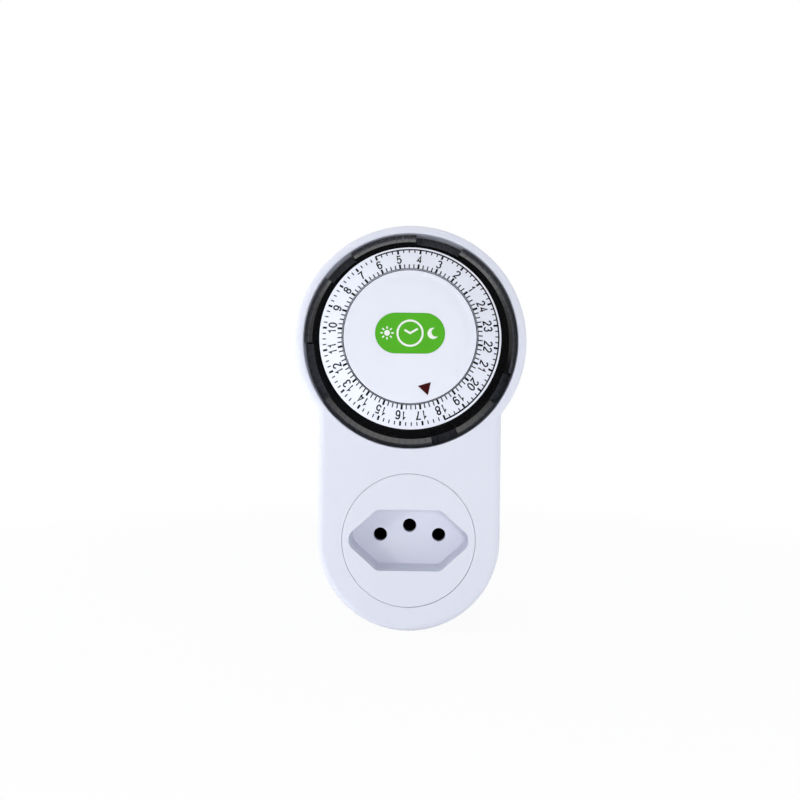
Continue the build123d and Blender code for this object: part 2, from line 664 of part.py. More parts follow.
with BuildPart() as retaining_ring:
    ring(dial_level(hub_top + 0.1), post_r + 2.4, post_r, 0.8)
label_and_write(retaining_ring.part, "retaining_ring")

# ---- tappets ----
# quarter hours counted from midnight: (first, how many, pressed in)
tappet_runs = [(17, 10, False), (27, 5, True), (32, 10, False), (42, 9, True), (51, 6, False), (57, 6, False),
               (63, 6, False), (69, 4, True), (73, 7, False), (80, 5, True), (85, 7, False), (92, 7, False),
               (3, 7, False), (10, 7, True)]
for first, count, pressed in tappet_runs:
    drop = tappet_travel if pressed else 0.0
    with BuildPart() as tappets:
        for quarter in range(first, first + count):
            centre = midnight_angle - tappet_step * (quarter + 0.5)
            half = (tappet_step - tappet_gap) / 2
            with BuildSketch(dial_section(centre + half)):
                with BuildLine():
                    Polyline([(tappet_inner_r, block_bottom - drop), (tappet_inner_r, tappet_top - drop),
                              (tappet_crest_r, tappet_top - drop), (tappet_outer_r, tappet_edge - drop),
                              (tappet_outer_r, block_bottom - drop)], close=True)
                make_face()
            revolve(axis=dial_axis, revolution_arc=2 * half)
            leg_x, leg_z = clock(leg_radius, centre)
            with BuildSketch(dial_level(leg_bottom - drop, leg_x, leg_z)):
                Rectangle(leg_radial, leg_width, rotation=90 - centre)
            extrude(amount=block_bottom - leg_bottom + 0.1)
    label_and_write(tappets.part, f"tappets_{first % tappet_count // 4:02d}h{first % 4 * 15:02d}")

# ---- centre disc, pointer and badge ----
inlay_t = 0.4
inlay_pocket = 0.35
badge_length = 20.6
badge_height = 12.0
badge_rise = 1.0  # above the dial axis
pointer_angle = 162.5
pointer_tip_r = 18.1
pointer_base_r = 14.5
pointer_width = 4.1
arrow_depth = 0.2
arrow_inner_r = 16.6
arrow_outer_r = 18.4
arrow_head_r = 14.2  # inner corner of the head
arrow_tip_r = 18.9
arrow_turns = (-25.0, 105.0, 133.0)  # start, neck and tip


def badge_outline(trim=0.0):
    """Capsule in the middle of the disc"""
    with Locations((0, badge_rise)):
        SlotOverall(badge_length - 2 * trim, badge_height - 2 * trim)


def pointer_outline(trim=0.0):
    """Triangle that points outwards at the time of day"""
    tip = clock(pointer_tip_r - 2 * trim, pointer_angle)
    base = clock(pointer_base_r + trim, pointer_angle)
    side = clock((pointer_width - 3 * trim) / 2, pointer_angle + 90)
    Polygon(tip, (base[0] + side[0], base[1] + side[1]), (base[0] - side[0], base[1] - side[1]), align=None)


with BuildPart() as center_disc:
    ring(dial_level(disc_under), disc_r, 0, disc_t)
    fillet(center_disc.faces().sort_by(Axis.Y)[0].edges(), 0.4)
    ring(dial_level(disc_under - 4.1), post_r - 0.1, 0, 4.2)
    ring(dial_level(disc_under - 10), 2.45, 0, 6.2)
    # sunk arrow that shows which way to turn the dial
    with BuildSketch(dial_level(disc_top - arrow_depth)):
        with BuildLine():
            start, neck, point = arrow_turns
            mid = (start + neck) / 2
            ThreePointArc(clock(arrow_outer_r, start), clock(arrow_outer_r, mid), clock(arrow_outer_r, neck))
            Line(clock(arrow_outer_r, neck), clock(arrow_tip_r, point))
            Line(clock(arrow_tip_r, point), clock(arrow_head_r, neck))
            Line(clock(arrow_head_r, neck), clock(arrow_inner_r, neck))
            ThreePointArc(clock(arrow_inner_r, neck), clock(arrow_inner_r, mid), clock(arrow_inner_r, start))
            Line(clock(arrow_inner_r, start), clock(arrow_outer_r, start))
        make_face()
    extrude(amount=arrow_depth + 1, mode=Mode.SUBTRACT)
    with BuildSketch(dial_level(disc_top - inlay_pocket)):
        badge_outline()
        pointer_outline()
    extrude(amount=1, mode=Mode.SUBTRACT)
label_and_write(center_disc.part, "center_disc")

with BuildPart() as badge:
    with BuildSketch(dial_level(disc_top - inlay_pocket)):
        badge_outline(0.05)
    extrude(amount=inlay_t)
label_and_write(badge.part, "badge")

with BuildPart() as pointer:
    with BuildSketch(dial_level(disc_top - inlay_pocket)):
        pointer_outline(0.05)
    extrude(amount=inlay_t)
label_and_write(pointer.part, "pointer")

# ---- switch ----
blade_level = lever_level - 3.8
with BuildPart() as microswitch_case:
    block(*case_x, case_level, case_top, *case_z)
    block(case_x[0] + case_wall, case_x[1] - case_wall, case_level + case_wall, case_top - case_wall,
          case_z[0] + case_wall, case_z[1] - case_wall, Mode.SUBTRACT)
    # ears that carry the lever's trunnions
    for ear_z in ((case_z[0], case_z[0] + 0.9), (case_z[1] - 0.9, case_z[1])):
        block(pivot_x - 1.4, pivot_x + 1.4, case_top - 0.1, lever_level + 1.8, *ear_z)
    with BuildSketch(Plane(origin=(pivot_x, -(lever_level + 0.4), case_z[0] - 1), z_dir=(0, 0, 1))):
        Circle(0.66)
    extrude(amount=case_thick + 2, mode=Mode.SUBTRACT)
    slot_x = (plunger_x - 1.1, plunger_x + 1.1)
    block(*slot_x, case_top - 2, case_top + 1, switch_z - 1.1, switch_z + 1.1, Mode.SUBTRACT)
    for tab_x in (common_x, output_x):
        tab_z = (switch_z - 1.6, switch_z + 1.6)
        block(tab_x - 0.4, tab_x + 0.4, case_level - 1, case_level + 2, *tab_z, Mode.SUBTRACT)
label_and_write(microswitch_case.part, "microswitch_case")

contact_r = 1.1
contact_x = output_x - 2.2
fixed_level = case_level + 2.8
with BuildPart() as switch_terminals:
    strip_z = (switch_z - 1.5, switch_z + 1.5)
    block(common_x - 0.3, common_x + 0.3, strap_level + strap_t, blade_level - 0.1, *strip_z)
    block(output_x - 0.3, output_x + 0.3, line_strap_level + strap_t, fixed_level + 0.6, *strip_z)
    block(contact_x - 1.3, output_x, fixed_level, fixed_level + 0.6, *strip_z)
    dots(level(fixed_level + 0.5), [(contact_x, switch_z)], contact_r, 0.8)
label_and_write(switch_terminals.part, "switch_terminals")

with BuildPart() as contact_blade:
    block(common_x - 0.3, contact_x + 1.3, blade_level, blade_level + 0.4, switch_z - 1.2, switch_z + 1.2)
    dots(level(fixed_level + 1.4), [(contact_x, switch_z)], contact_r, blade_level - fixed_level - 1.3)
label_and_write(contact_blade.part, "contact_blade")

with BuildPart() as switch_plunger:
    block(plunger_x - 1, plunger_x + 1, blade_level + 0.5, lever_level - 0.1, switch_z - 1, switch_z + 1)
label_and_write(switch_plunger.part, "switch_plunger")

lever_z = (switch_z - lever_width / 2, switch_z + lever_width / 2)
with BuildPart() as switch_lever:
    block(pivot_x - 0.6, finger[1] + 1.3, lever_level, lever_level + lever_t, *lever_z)
    block(*finger, lever_level + lever_t - 0.1, finger_top, *lever_z)
    fillet(switch_lever.faces().sort_by(Axis.Y)[0].edges().filter_by(Axis.Z), 0.8)
    with BuildSketch(Plane(origin=(pivot_x, -(lever_level + 0.4), case_z[0] + 0.1), z_dir=(0, 0, 1))):
        Circle(0.6)
    extrude(amount=case_thick - 0.2)
label_and_write(switch_lever.part, "switch_lever")

# ---- override slider in the side wall ----
slider_inner = body_half - wall - slide_gap
knob_z = (override_z[1] - slide_gap - knob_length, override_z[1] - slide_gap)
arm_z = (lever_z[1] + 0.3, lever_z[1] + 1.8)
with BuildPart() as override_slider:
    back_z = (override_z[0] - 0.9, override_z[1] + 2.2)
    block(slider_inner - 1.6, slider_inner, override_level[0] - 1, override_level[1] - 0.6, *back_z)
    knob_level = (override_level[0] + slide_gap, override_level[1] - slide_gap)
    block(slider_inner - 0.1, body_half - 0.1, *knob_level, *knob_z)
    arm_level = lever_level + lever_t + 0.3
    block(finger[1] + 0.5, slider_inner - 0.1, arm_level, arm_level + 1.5, *arm_z)
    for rib in (1, 2):
        block(body_half - 0.6, body_half + 1, override_level[0] - 1, override_level[1] + 1,
              knob_z[0] + rib - 0.2, knob_z[0] + rib + 0.2, Mode.SUBTRACT)
label_and_write(override_slider.part, "override_slider")

# ---- screws ----
with BuildPart() as housing_screws:
    seat = back_level + screw_sink
    dots(level(seat), boss_points, screw_r, screw_length)
    dots(level(seat - screw_head_t), boss_points, screw_head_r, screw_head_t)
    with BuildSketch(level(seat - screw_head_t)):
        with Locations(*boss_points):
            Rectangle(cross_length, cross_width)
            Rectangle(cross_width, cross_length)
    extrude(amount=screw_head_t / 2, mode=Mode.SUBTRACT)
label_and_write(housing_screws.part, "housing_screws")

with BuildPart() as plate_screws:
    for point in plate_posts:
        with BuildSketch(dial_section(90, *point)):
            with BuildLine():
                Polyline([(0, plate_front - 8), (0.9, plate_front - 8), (0.9, plate_front - 1.1),
                          (2.1, plate_front - 0.05), (0, plate_front - 0.05)], close=True)
            make_face()
        revolve(axis=Axis((point[0], 0, dial_height + point[1]), (0, -1, 0)))
label_and_write(plate_screws.part, "plate_screws")

with BuildPart() as motor_screws:
    dots(dial_level(motor_front - 1), motor_ears, 0.9, 5)
    dots(dial_level(motor_front - 2.2), motor_ears, 1.8, 1.2)
label_and_write(motor_screws.part, "motor_screws")
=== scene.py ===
import bpy
import bmesh
import json
import math
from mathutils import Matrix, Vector


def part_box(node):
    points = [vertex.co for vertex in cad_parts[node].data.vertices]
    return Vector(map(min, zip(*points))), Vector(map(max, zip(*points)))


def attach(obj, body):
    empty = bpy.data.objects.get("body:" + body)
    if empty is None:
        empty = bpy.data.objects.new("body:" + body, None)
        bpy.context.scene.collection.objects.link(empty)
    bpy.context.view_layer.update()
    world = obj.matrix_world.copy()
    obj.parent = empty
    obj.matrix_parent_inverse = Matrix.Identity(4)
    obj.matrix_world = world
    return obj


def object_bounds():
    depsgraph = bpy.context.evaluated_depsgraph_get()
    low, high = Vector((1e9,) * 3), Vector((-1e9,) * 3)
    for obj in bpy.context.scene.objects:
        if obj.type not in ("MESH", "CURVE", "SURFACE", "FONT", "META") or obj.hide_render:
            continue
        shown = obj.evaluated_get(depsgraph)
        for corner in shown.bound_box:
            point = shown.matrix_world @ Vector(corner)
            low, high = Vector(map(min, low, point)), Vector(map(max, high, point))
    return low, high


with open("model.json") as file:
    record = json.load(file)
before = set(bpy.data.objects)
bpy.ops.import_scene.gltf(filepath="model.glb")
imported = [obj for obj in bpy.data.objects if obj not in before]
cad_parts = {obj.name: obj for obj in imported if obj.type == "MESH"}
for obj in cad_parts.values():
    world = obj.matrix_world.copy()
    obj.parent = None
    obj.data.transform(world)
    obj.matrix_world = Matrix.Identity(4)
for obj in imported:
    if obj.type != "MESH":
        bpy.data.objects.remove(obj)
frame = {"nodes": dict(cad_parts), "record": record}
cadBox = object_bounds()
mm = 0.001
print("stage 1: frame loaded,", len(frame["nodes"]), "nodes")

# places taken from the frame
ringLow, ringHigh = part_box("dial_ring")
badgeLow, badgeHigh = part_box("badge")
dialCentre = Vector(((ringLow.x + ringHigh.x) / 2, ringLow.y, (ringLow.z + ringHigh.z) / 2))
floorHeight = cadBox[0].z

dial = {
    "innerRadius": 19.86 * mm,
    "outerRadius": (ringHigh.x - ringLow.x) / 2,
    "topY": ringLow.y,  # front of the cone at its inner edge
    "fall": 3.8 * mm,  # how far the cone drops to its outer edge
    "midnight": 66.2,  # clock angle of 0 h, in degrees from the top
    "inkLift": 0.03 * mm,
    "inkSink": 0.02 * mm,
}


def newGroup(name, inputs, outputs):
    group = bpy.data.node_groups.new(name, "ShaderNodeTree")
    for label, kind, value in inputs:
        socket = group.interface.new_socket(label, in_out="INPUT", socket_type=kind)
        socket.default_value = value
    for label, kind in outputs:
        group.interface.new_socket(label, in_out="OUTPUT", socket_type=kind)
    start = group.nodes.new("NodeGroupInput")
    end = group.nodes.new("NodeGroupOutput")
    return group, start, end


def addNode(tree, kind, settings=None, **sockets):
    node = tree.nodes.new(kind)
    for key, value in (settings or {}).items():
        setattr(node, key, value)
    for key, value in sockets.items():
        node.inputs[key.replace("_", " ")].default_value = value
    return node


def mathNode(tree, operation, first, second=None, clamp=False):
    node = addNode(tree, "ShaderNodeMath", {"operation": operation, "use_clamp": clamp})
    for index, value in enumerate((first, second)):
        if value is None:
            continue
        if hasattr(value, "is_linked"):
            tree.links.new(value, node.inputs[index])
        else:
            node.inputs[index].default_value = value
    return node.outputs[0]


def buildMouldedSkin():
    # fine spark-eroded grain and a slow change of tone, as on moulded housings
    group, start, end = newGroup(
        "mouldedSkin",
        [("Color", "NodeSocketColor", (1, 1, 1, 1)), ("Tone", "NodeSocketFloat", 0.03),
         ("Grain Scale", "NodeSocketFloat", 3500.0), ("Grain Depth", "NodeSocketFloat", 1.0),
         ("Gloss", "NodeSocketFloat", 0.3), ("Gloss Spread", "NodeSocketFloat", 0.08)],
        [("Color", "NodeSocketColor"), ("Roughness", "NodeSocketFloat"), ("Height", "NodeSocketFloat")])
    links = group.links
    place = addNode(group, "ShaderNodeTexCoord").outputs["Object"]
    slow = addNode(group, "ShaderNodeTexNoise", None, Scale=38.0, Detail=3.0, Roughness=0.5)
    grain = addNode(group, "ShaderNodeTexNoise", None, Detail=2.0, Roughness=0.6)
    flow = addNode(group, "ShaderNodeTexNoise", None, Scale=120.0, Detail=4.0, Roughness=0.6)
    for texture in (slow, grain, flow):
        links.new(place, texture.inputs["Vector"])
    links.new(start.outputs["Grain Scale"], grain.inputs["Scale"])
    drift = mathNode(group, "SUBTRACT", slow.outputs["Fac"], 0.5)
    shift = mathNode(group, "MULTIPLY", drift, start.outputs["Tone"])
    level = mathNode(group, "ADD", 1.0, mathNode(group, "MULTIPLY", shift, 2.0))
    scaleColor = addNode(group, "ShaderNodeVectorMath", {"operation": "SCALE"})
    links.new(start.outputs["Color"], scaleColor.inputs[0])
    links.new(level, scaleColor.inputs["Scale"])
    links.new(scaleColor.outputs[0], end.inputs["Color"])
    spread = mathNode(group, "MULTIPLY", mathNode(group, "SUBTRACT", flow.outputs["Fac"], 0.5),
                      start.outputs["Gloss Spread"])
    links.new(mathNode(group, "ADD", start.outputs["Gloss"], spread, clamp=True), end.inputs["Roughness"])
    depth = mathNode(group, "MULTIPLY", grain.outputs["Fac"], start.outputs["Grain Depth"])
    links.new(depth, end.inputs["Height"])
    return group


def buildRolledMetal():
    # drawn lines along one axis, with faint tarnish
    group, start, end = newGroup(
        "rolledMetal",
        [("Color", "NodeSocketColor", (1, 1, 1, 1)), ("Tarnish", "NodeSocketFloat", 0.25),
         ("Line Scale", "NodeSocketFloat", 900.0), ("Gloss", "NodeSocketFloat", 0.3),
         ("Gloss Spread", "NodeSocketFloat", 0.2)],
        [("Color", "NodeSocketColor"), ("Roughness", "NodeSocketFloat"), ("Height", "NodeSocketFloat")])
    links = group.links
    place = addNode(group, "ShaderNodeTexCoord").outputs["Object"]
    stretch = addNode(group, "ShaderNodeMapping")
    stretch.inputs["Scale"].default_value = (1.0, 0.06, 1.0)
    links.new(place, stretch.inputs["Vector"])
    lines = addNode(group, "ShaderNodeTexNoise", None, Detail=3.0, Roughness=0.7)
    links.new(stretch.outputs[0], lines.inputs["Vector"])
    links.new(start.outputs["Line Scale"], lines.inputs["Scale"])
    spots = addNode(group, "ShaderNodeTexNoise", None, Scale=210.0, Detail=5.0, Roughness=0.65)
    links.new(place, spots.inputs["Vector"])
    dull = mathNode(group, "MULTIPLY", spots.outputs["Fac"], start.outputs["Tarnish"])
    level = mathNode(group, "SUBTRACT", 1.0, dull)
    scaleColor = addNode(group, "ShaderNodeVectorMath", {"operation": "SCALE"})
    links.new(start.outputs["Color"], scaleColor.inputs[0])
    links.new(level, scaleColor.inputs["Scale"])
    links.new(scaleColor.outputs[0], end.inputs["Color"])
    spread = mathNode(group, "MULTIPLY", mathNode(group, "SUBTRACT", lines.outputs["Fac"], 0.5),
                      start.outputs["Gloss Spread"])
    links.new(mathNode(group, "ADD", start.outputs["Gloss"], spread, clamp=True), end.inputs["Roughness"])
    links.new(lines.outputs["Fac"], end.inputs["Height"])
    return group


mouldedSkin = buildMouldedSkin()
rolledMetal = buildRolledMetal()


def makeMaterial(name, group, values, bump, bumpDistance, **shader):
    material = bpy.data.materials.new(name)
    material.use_nodes = True
    tree = material.node_tree
    principled = tree.nodes["Principled BSDF"]
    for key, value in shader.items():
        principled.inputs[key.replace("_", " ")].default_value = value
    skin = addNode(tree, "ShaderNodeGroup", {"node_tree": group})
    for key, value in values.items():
        skin.inputs[key].default_value = value
    relief = addNode(tree, "ShaderNodeBump")
    relief.inputs["Strength"].default_value = bump
    relief.inputs["Distance"].default_value = bumpDistance
    tree.links.new(skin.outputs["Color"], principled.inputs["Base Color"])
    tree.links.new(skin.outputs["Roughness"], principled.inputs["Roughness"])
    tree.links.new(skin.outputs["Height"], relief.inputs["Height"])
    tree.links.new(relief.outputs[0], principled.inputs["Normal"])
    return material


plasticLooks = {
    "white_plastic": {"color": (0.745, 0.765, 0.86), "tone": 0.012, "grain": 5200,
                      "gloss": 0.36, "depth": 0.25},
    "dial_plastic": {"color": (0.79, 0.81, 0.90), "tone": 0.01, "grain": 6500,
                     "gloss": 0.3, "depth": 0.12},
    "black_plastic": {"color": (0.0035, 0.0035, 0.0042), "tone": 0.2, "grain": 4200,
                      "gloss": 0.16, "depth": 0.06, "ior": 2.1},
    "grey_plastic": {"color": (0.42, 0.43, 0.46), "tone": 0.05, "grain": 3000,
                     "gloss": 0.5, "depth": 0.4},
    "gear_plastic": {"color": (0.72, 0.70, 0.62), "tone": 0.05, "grain": 3000,
                     "gloss": 0.42, "depth": 0.3},
    "red_plastic": {"color": (0.36, 0.018, 0.016), "tone": 0.06, "grain": 4200,
                    "gloss": 0.3, "depth": 0.2},
    "red_print": {"color": (0.046, 0.002, 0.003), "tone": 0.35, "grain": 5000,
                  "gloss": 0.5, "depth": 0.4, "ior": 1.3},
    "green_print": {"color": (0.085, 0.43, 0.018), "tone": 0.05, "grain": 5000,
                    "gloss": 0.5, "depth": 0.3, "ior": 1.35},
    "magnet": {"color": (0.035, 0.035, 0.038), "tone": 0.25, "grain": 2200, "gloss": 0.6, "depth": 0.8},
    "lead_sleeve": {"color": (0.03, 0.06, 0.28), "tone": 0.1, "grain": 2500, "gloss": 0.4, "depth": 0.3},
}
metalLooks = {
    "steel": {"color": (0.56, 0.57, 0.59), "tarnish": 0.25, "lines": 900, "gloss": 0.34},
    "brass": {"color": (0.78, 0.57, 0.24), "tarnish": 0.3, "lines": 700, "gloss": 0.3},
    "plated_brass": {"color": (0.76, 0.75, 0.72), "tarnish": 0.12, "lines": 1400, "gloss": 0.2},
    "copper": {"color": (0.62, 0.25, 0.11), "tarnish": 0.3, "lines": 2600, "gloss": 0.3},
}

plasticIor = 1.49
plasticRelief = 0.02 * mm
inkRelief = 0.01 * mm
metalRelief = 0.01 * mm
metalBump = 0.15


def makePlastic(name, look, relief):
    values = {"Color": (*look["color"], 1), "Tone": look["tone"], "Grain Scale": look["grain"],
              "Gloss": look["gloss"]}
    return makeMaterial(name, mouldedSkin, values, look["depth"], relief, IOR=look.get("ior", plasticIor))


def makeMetal(name, look):
    values = {"Color": (*look["color"], 1), "Tarnish": look["tarnish"], "Line Scale": look["lines"],
              "Gloss": look["gloss"]}
    return makeMaterial(name, rolledMetal, values, metalBump, metalRelief, Metallic=1.0)


materials = {}
for slotName, look in plasticLooks.items():
    materials[slotName] = makePlastic(slotName, look, plasticRelief)
for slotName, look in metalLooks.items():
    materials[slotName] = makeMetal(slotName, look)
# finishes of single pieces, which take no slot of the frame; the near-black brass is painted shade for the
# deep socket bores
materials["dull_brass"] = makeMetal(
    "paintedShadeBrass", {"color": (0.012, 0.009, 0.005), "tarnish": 0.4, "lines": 700, "gloss": 0.55})
materials["scale_ink"] = makePlastic(
    "scaleInk", {"color": (0.004, 0.004, 0.006), "tone": 0.3, "grain": 6000, "gloss": 0.5, "depth": 0.3,
                 "ior": 1.3}, inkRelief)
materials["badge_white"] = makePlastic(
    "badgeWhite", {"color": (0.82, 0.86, 0.80), "tone": 0.03, "grain": 6000, "gloss": 0.4, "depth": 0.3},
    inkRelief)

slotOf = {entry["node"]: entry["material_slot"] for entry in frame["record"]["subparts"]}
for nodeName, piece in frame["nodes"].items():
    chosen = materials[slotOf[nodeName]]
    if not piece.material_slots:
        piece.data.materials.append(chosen)
    for slot in piece.material_slots:
        slot.material = chosen
# near-black brass on the sleeves and switch terminals: painted shade of the deep bores, not the metal's own
# colour
for nodeName in ("line_sleeve", "neutral_sleeve", "earth_sleeve", "switch_terminals"):
    frame["nodes"][nodeName].material_slots[0].material = materials["dull_brass"]
print("stage 2: materials on", len(frame["nodes"]), "nodes")


def clockPoint(radius, angle, lift=0.0):
    # a point on the printed cone; the angle runs clockwise from the top
    slope = dial["fall"] / (dial["outerRadius"] - dial["innerRadius"])
    turn = math.radians(angle)
    y = dial["topY"] + (radius - dial["innerRadius"]) * slope - lift
    return Vector((dialCentre.x + radius * math.sin(turn), y, dialCentre.z + radius * math.cos(turn)))


degreesPerHour = 15.0


def hourAngle(hour):
    return dial["midnight"] - degreesPerHour * hour


def finishMesh(name, shape, material, body):
    mesh = bpy.data.meshes.new(name)
    bmesh.ops.recalc_face_normals(shape, faces=shape.faces)
    shape.to_mesh(mesh)
    shape.free()
    piece = bpy.data.objects.new(name, mesh)
    bpy.context.scene.collection.objects.link(piece)
    mesh.materials.append(material)
    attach(piece, body)
    return piece


def addArcStrip(shape, innerRadius, outerRadius, startAngle, endAngle, step=1.25):
    # a closed strip of ink on the cone between two radii and two clock angles
    count = max(1, math.ceil(abs(endAngle - startAngle) / step))
    rows = []
    fullTurn = abs(abs(endAngle - startAngle) - 360) < 1e-6
    for index in range(count + (0 if fullTurn else 1)):
        angle = startAngle + (endAngle - startAngle) * index / count
        corners = [(innerRadius, -dial["inkSink"]), (outerRadius, -dial["inkSink"]),
                   (outerRadius, dial["inkLift"]), (innerRadius, dial["inkLift"])]
        rows.append([shape.verts.new(clockPoint(radius, angle, lift)) for radius, lift in corners])
    pairs = list(zip(rows, rows[1:] + rows[:1])) if fullTurn else list(zip(rows, rows[1:]))
    for here, there in pairs:
        for side in range(4):
            shape.faces.new((here[side], there[side], there[(side + 1) % 4], here[(side + 1) % 4]))
    if not fullTurn:
        shape.faces.new(rows[0])
        shape.faces.new(rows[-1][::-1])


def addTick(shape, innerRadius, outerRadius, angle, width):
    # a straight tick keeps its width along its length
    corners = []
    for radius in (innerRadius, outerRadius):
        half = math.degrees(width / 2 / radius)
        corners += [(radius, angle - half), (radius, angle + half)]
    a, b, c, d = corners
    low = [shape.verts.new(clockPoint(*corner, -dial["inkSink"])) for corner in (a, b, d, c)]
    high = [shape.verts.new(clockPoint(*corner, dial["inkLift"])) for corner in (a, b, d, c)]
    shape.faces.new(low[::-1])
    shape.faces.new(high)
    for side in range(4):
        nextSide = (side + 1) % 4
        shape.faces.new((low[side], low[nextSide], high[nextSide], high[side]))


scale = {
    "circle": (19.92, 20.12),
    "innerTick": (20.0, 21.4),
    "innerHour": (20.0, 21.55),
    "nightLine": (26.18, 26.64),
    "nightTick": (25.35, 26.3),
    "nightHour": (25.0, 26.3),
    "dayTick": (25.1, 26.2),
    "dayHour": (24.95, 26.3),
    "thin": 0.34,
    "bold": 0.6,
    "lineEnd": 0.4,  # degrees the night line runs past its hours
    "quarters": 96,
    "dayStart": 6,
    "dayEnd": 18,
}


def makeScale():
    shape = bmesh.new()
    addArcStrip(shape, scale["circle"][0] * mm, scale["circle"][1] * mm, 0, 360)
    addArcStrip(shape, scale["nightLine"][0] * mm, scale["nightLine"][1] * mm,
                hourAngle(scale["dayStart"]) - scale["lineEnd"],
                hourAngle(scale["dayEnd"] - 24) + scale["lineEnd"])
    for quarter in range(scale["quarters"]):
        hour = quarter / 4
        onHour = quarter % 4 == 0
        day = scale["dayStart"] < hour < scale["dayEnd"]
        inner = scale["innerHour"] if onHour else scale["innerTick"]
        outer = scale[("day" if day else "night") + ("Hour" if onHour else "Tick")]
        width = scale["bold"] if onHour else scale["thin"]
        for low, high in (inner, outer):
            addTick(shape, low * mm, high * mm, hourAngle(hour), width * mm)
    return finishMesh("scaleLines", shape, materials["scale_ink"], "dial")


digits = {
    "height": 2.8,
    "width": 1.6,
    "stroke": 0.42,
    "pitch": 1.78,
    "middle": 23.2,  # radius of the digits' mid height
}


def arcPoints(centerX, centerY, reachX, reachY, startTurn, endTurn, count=14):
    turns = [math.radians(startTurn + (endTurn - startTurn) * index / count) for index in range(count + 1)]
    return [(centerX + reachX * math.cos(turn), centerY + reachY * math.sin(turn)) for turn in turns]


# centre lines in a unit box; True marks a loop
digitStrokes = {
    "0": [(True, arcPoints(0.5, 0.5, 0.5, 0.5, 0, 360, 28)[:-1])],
    "1": [(False, [(0.1, 0.72), (0.42, 0.8), (0.6, 1.0), (0.6, 0.0)])],
    "2": [(False, arcPoints(0.5, 0.71, 0.47, 0.29, 172, -18)
           + [(0.66, 0.4), (0.2, 0.16), (0.02, 0.0), (1.0, 0.0)])],
    "3": [(False, arcPoints(0.48, 0.76, 0.42, 0.24, 165, -75)),
          (False, arcPoints(0.48, 0.27, 0.5, 0.27, 85, -165))],
    "4": [(False, [(0.74, 0.0), (0.74, 0.98), (0.02, 0.28), (1.0, 0.28)])],
    "5": [(False, [(0.92, 1.0), (0.18, 1.0), (0.08, 0.5)] + arcPoints(0.47, 0.33, 0.5, 0.33, 138, -160))],
    "6": [(False, arcPoints(0.53, 0.7, 0.48, 0.3, 28, 180, 10) + [(0.05, 0.34)]),
          (True, arcPoints(0.5, 0.31, 0.47, 0.31, 0, 360, 24)[:-1])],
    "7": [(False, [(0.0, 1.0), (1.0, 1.0), (0.62, 0.56), (0.34, 0.0)])],
    "8": [(True, arcPoints(0.5, 0.77, 0.4, 0.23, 0, 360, 22)[:-1]),
          (True, arcPoints(0.5, 0.27, 0.49, 0.27, 0, 360, 24)[:-1])],
    "9": [(False, arcPoints(0.47, 0.3, 0.48, 0.3, 208, 360, 10) + [(0.95, 0.66)]),
          (True, arcPoints(0.5, 0.69, 0.47, 0.31, 0, 360, 24)[:-1])],
}


def addRibbon(shape, points, loop, width, place):
    # a closed flat band along a centre line; place(x, y, lift) puts it on its surface
    count = len(points)
    line = [Vector(point) for point in points]
    rows = []
    for index, here in enumerate(line):
        before = line[index - 1] if loop or index else None
        after = line[(index + 1) % count] if loop or index < count - 1 else None
        comesFrom = (here - before).normalized() if before is not None else (after - here).normalized()
        goesTo = (after - here).normalized() if after is not None else comesFrom
        along = (comesFrom + goesTo).normalized()
        side = Vector((-along.y, along.x)) * width / 2 / max(0.5, along.dot(goesTo))
        left, right = here + side, here - side
        rows.append([shape.verts.new(place(point.x, point.y, lift)) for point, lift in
                     ((left, -dial["inkSink"]), (right, -dial["inkSink"]), (right, dial["inkLift"]),
                      (left, dial["inkLift"]))])
    pairs = list(zip(rows, rows[1:] + rows[:1])) if loop else list(zip(rows, rows[1:]))
    for here, there in pairs:
        for corner in range(4):
            nextCorner = (corner + 1) % 4
            shape.faces.new((here[corner], there[corner], there[nextCorner], here[nextCorner]))
    if not loop:
        shape.faces.new(rows[0])
        shape.faces.new(rows[-1][::-1])


def makeDigits():
    shape = bmesh.new()
    lineWidth = digits["width"] - digits["stroke"]
    lineHeight = digits["height"] - digits["stroke"]
    for hour in range(1, 25):
        word = str(hour)
        for index, character in enumerate(word):
            left = (index - len(word) / 2 + 0.5) * digits["pitch"] - lineWidth / 2

            def place(x, y, lift):
                radius = (digits["middle"] + y) * mm
                return clockPoint(radius, hourAngle(hour) + math.degrees(x / digits["middle"]), lift)

            for loop, points in digitStrokes[character]:
                line = [(left + x * lineWidth, (y - 0.5) * lineHeight) for x, y in points]
                addRibbon(shape, line, loop, digits["stroke"], place)
    return finishMesh("hourDigits", shape, materials["scale_ink"], "dial")


makeScale()
makeDigits()
print("stage 3: dial scale printed")


clockMark = {
    "ringRadius": 3.7,
    "line": 0.6,
    "hourHand": (-60, 1.9),
    "minuteHand": (60, 2.6),
    "emblemOffset": 6.75,
    "sunRadius": 0.85,
    "rays": (1.25, 1.95),
    "rayWidth": 0.42,
    "moonRadius": 1.65,
    "moonBite": (0.85, 0.35, 1.3),  # centre and radius of the circle cut out of the moon
    "thickness": 0.03,
    "sink": 0.02,  # how far the plates reach into the badge
    "rayCount": 8,
    "sunSides": 28,
    "ringSides": 64,
    "moonSteps": (24, 18),  # outer and inner arc
}


def addPlate(shape, outline, y, thickness):
    # a flat closed plate; its outline lies in the X-Z plane
    front = [shape.verts.new((x, y - thickness, z)) for x, z in outline]
    back = [shape.verts.new((x, y + clockMark["sink"] * mm, z)) for x, z in outline]
    shape.faces.new(front)
    shape.faces.new(back[::-1])
    for index in range(len(outline)):
        nextIndex = (index + 1) % len(outline)
        shape.faces.new((front[index], back[index], back[nextIndex], front[nextIndex]))


def barOutline(center, angle, low, high, width):
    along = Vector((math.sin(math.radians(angle)), math.cos(math.radians(angle))))
    side = Vector((along.y, -along.x)) * width / 2
    start, end = Vector(center) + along * low, Vector(center) + along * high
    return [tuple(point) for point in (start - side, start + side, end + side, end - side)]


